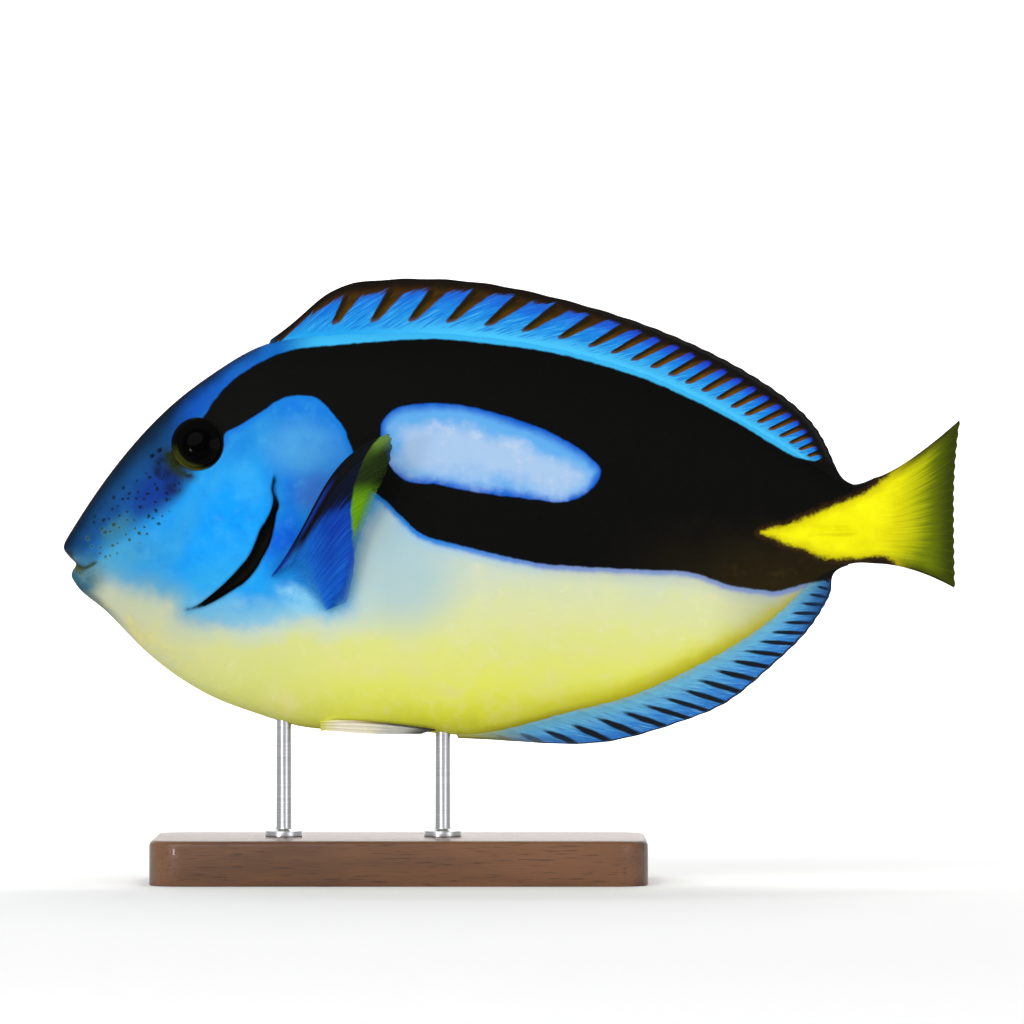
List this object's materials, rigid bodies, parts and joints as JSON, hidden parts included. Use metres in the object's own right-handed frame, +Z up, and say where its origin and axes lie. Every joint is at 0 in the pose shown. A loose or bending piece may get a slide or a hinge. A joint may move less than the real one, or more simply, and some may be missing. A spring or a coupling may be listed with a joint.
{
  "type": "regal blue tang model on a display stand",
  "caption": "Life-size model of a reef fish, an oval flat-sided tang swimming level, held up by slim rods on a low wooden base plate.",
  "frame": {"origin": "on the floor, under the centre of the whole model's box", "axes": "+X from the snout to the tail fin, +Z up; the fish's left side looks along -Y"},
  "size_m": [0.24, 0.066, 0.1613],
  "materials": {
    "skin_blue": "painted skin, satin",
    "skin_black": "painted skin, satin",
    "skin_yellow": "painted skin, satin",
    "fin_yellow": "painted fin, satin",
    "fin_blue": "painted fin, satin",
    "fin_deep_blue": "painted fin, satin",
    "fin_pale": "painted fin, satin",
    "eye": "wet gloss",
    "walnut": "oiled, satin",
    "steel": "brushed"
  },
  "bodies": {
    "root": {"head": "skin_blue", "trunk": "skin_black", "tail_peduncle": "skin_yellow", "tail_fin": "fin_yellow", "dorsal_fin": "fin_blue", "anal_fin": "fin_blue", "pectoral_fin_left": "fin_deep_blue", "pectoral_fin_right": "fin_deep_blue", "pelvic_fin_left": "fin_pale", "pelvic_fin_right": "fin_pale", "eye_left": "eye", "eye_right": "eye", "stand_base": "walnut", "stand_rod_front": "steel", "stand_rod_rear": "steel"}
  },
  "joints": []
}
